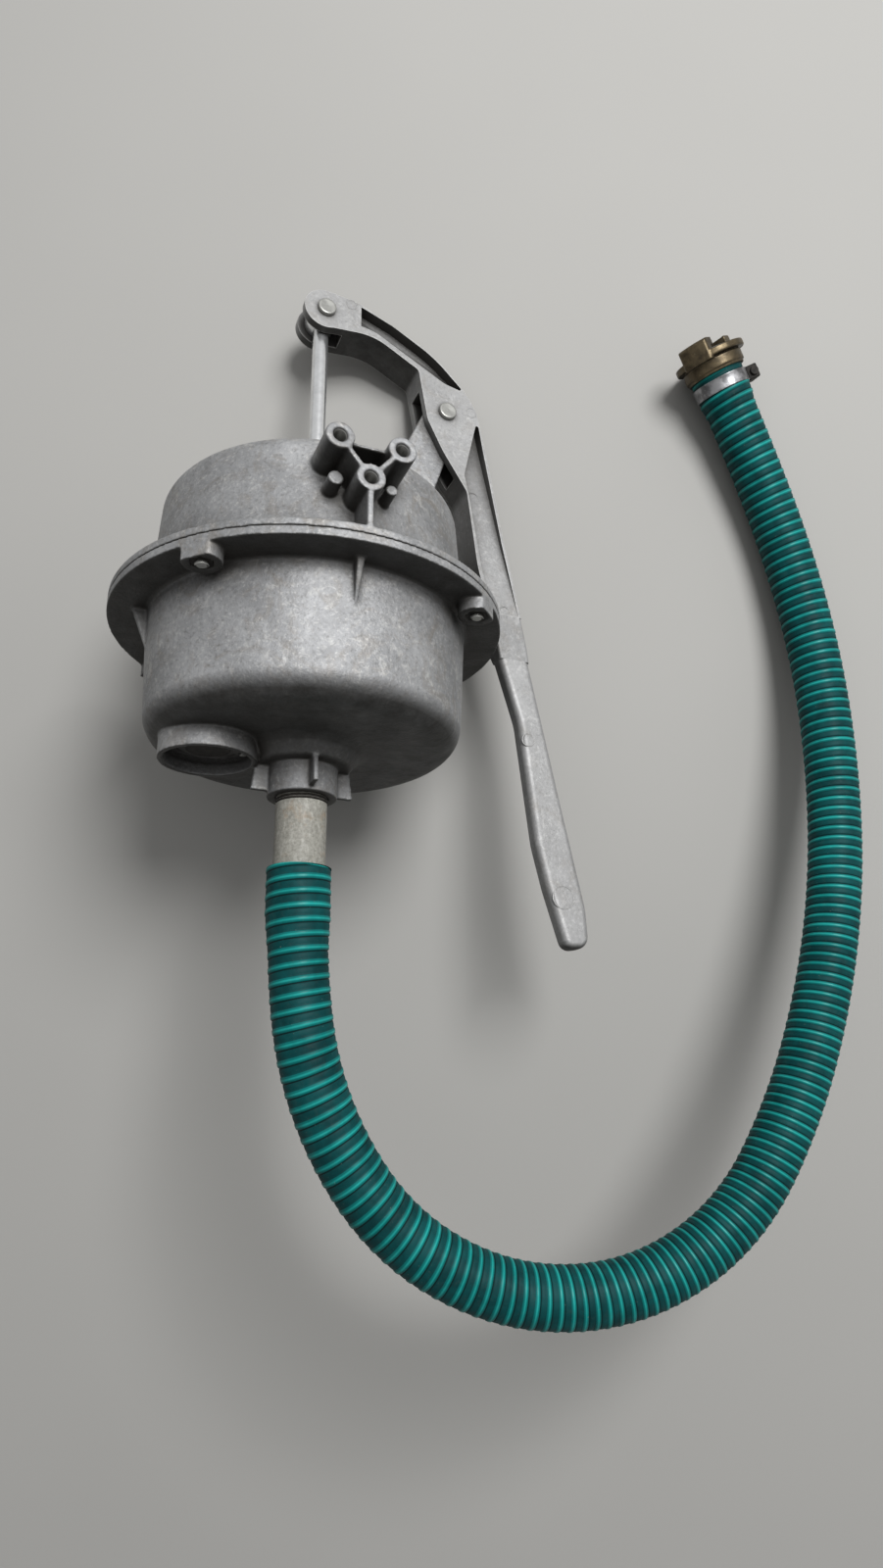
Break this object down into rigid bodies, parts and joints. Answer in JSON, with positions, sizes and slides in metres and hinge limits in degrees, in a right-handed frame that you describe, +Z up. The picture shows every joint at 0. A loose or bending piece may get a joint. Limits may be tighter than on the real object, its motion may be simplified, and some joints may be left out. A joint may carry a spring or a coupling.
{
  "type": "hand diaphragm pump",
  "caption": "Lever-operated diaphragm hand pump with flanged cast housing, outlet spigot, mounting bosses and a curved suction hose ending in a claw coupling.",
  "frame": {"origin": "under the middle of the pump as it lies on the floor, without the hose", "axes": "+Z up from the floor; +Y roughly along the pump from the suction end to the rod; +X to the side where the lever's grip hangs"},
  "size_m": [0.5428, 0.7198, 0.2562],
  "materials": {
    "cast_aluminium": "weathered sand cast",
    "zinc_steel": "dull zinc plate",
    "galvanised_pipe": "hot-dip zinc with light scratches",
    "stainless": "brushed strip",
    "dark_steel": "darkened steel",
    "brass": "aged brown brass",
    "black_rubber": "matt",
    "green_hose": "ribbed flexible plastic, semi-gloss"
  },
  "bodies": {
    "pump_body": {"lower_housing": "cast_aluminium", "top_cover": "cast_aluminium", "diaphragm": "black_rubber", "inlet_pipe": "galvanised_pipe", "inlet_flap_tab": "black_rubber", "inlet_tab_seat": "cast_aluminium", "outlet_flap_tab": "black_rubber", "flange_bolt_1": "zinc_steel", "flange_bolt_2": "zinc_steel", "flange_bolt_3": "zinc_steel", "flange_bolt_4": "zinc_steel", "flange_nut_1": "zinc_steel", "flange_nut_2": "zinc_steel", "flange_nut_3": "zinc_steel", "flange_nut_4": "zinc_steel", "inlet_tab_screw_1": "zinc_steel", "inlet_tab_screw_2": "zinc_steel", "outlet_tab_screw_1": "zinc_steel", "outlet_tab_screw_2": "zinc_steel", "hose": "green_hose", "hose_clamp_band": "stainless", "hose_clamp_housing": "dark_steel", "hose_clamp_screw": "dark_steel", "hose_coupling": "brass", "coupling_gasket": "black_rubber"},
    "lever_arm": {"lever": "cast_aluminium", "fulcrum_pin": "zinc_steel", "fulcrum_clip": "zinc_steel", "rod_pin": "zinc_steel", "rod_clip": "zinc_steel"},
    "rod": {"diaphragm_rod": "zinc_steel", "upper_plate": "zinc_steel", "lower_plate": "zinc_steel", "upper_rod_nut": "zinc_steel", "lower_rod_nut": "zinc_steel"},
    "inlet_valve": {"inlet_flap": "black_rubber", "inlet_flap_weight": "zinc_steel"},
    "outlet_valve": {"outlet_flap": "black_rubber", "outlet_flap_weight": "zinc_steel"}
  },
  "joints": [
    {"name": "lever_hinge", "type": "hinge", "parent": "pump_body", "child": "lever_arm", "pos_m": [0.06261, 0.15463, 0.02554], "axis": [0.3907, 0.2966, 0.8714], "range_deg": [0, 35], "deforming": ["diaphragm"]},
    {"name": "rod_hinge", "type": "hinge", "parent": "lever_arm", "child": "rod", "pos_m": [-0.02898, 0.22935, 0.04118], "axis": [0.3907, 0.2966, 0.8714], "range_deg": [-30.5, 0]},
    {"name": "inlet_flap_hinge", "type": "hinge", "parent": "pump_body", "child": "inlet_valve", "pos_m": [-0.01195, -0.10289, 0.14664], "axis": [-0.3907, -0.2966, -0.8714], "range_deg": [0, 30], "stiffness_Nm_per_rad": 0.002},
    {"name": "outlet_flap_hinge", "type": "hinge", "parent": "pump_body", "child": "outlet_valve", "pos_m": [-0.06875, -0.10743, 0.17365], "axis": [0.3907, 0.2966, 0.8714], "range_deg": [0, 30], "stiffness_Nm_per_rad": 0.002}
  ],
  "couplings": [
    {"joint": "rod_hinge", "follows": "lever_hinge", "ratio": -0.865}
  ]
}
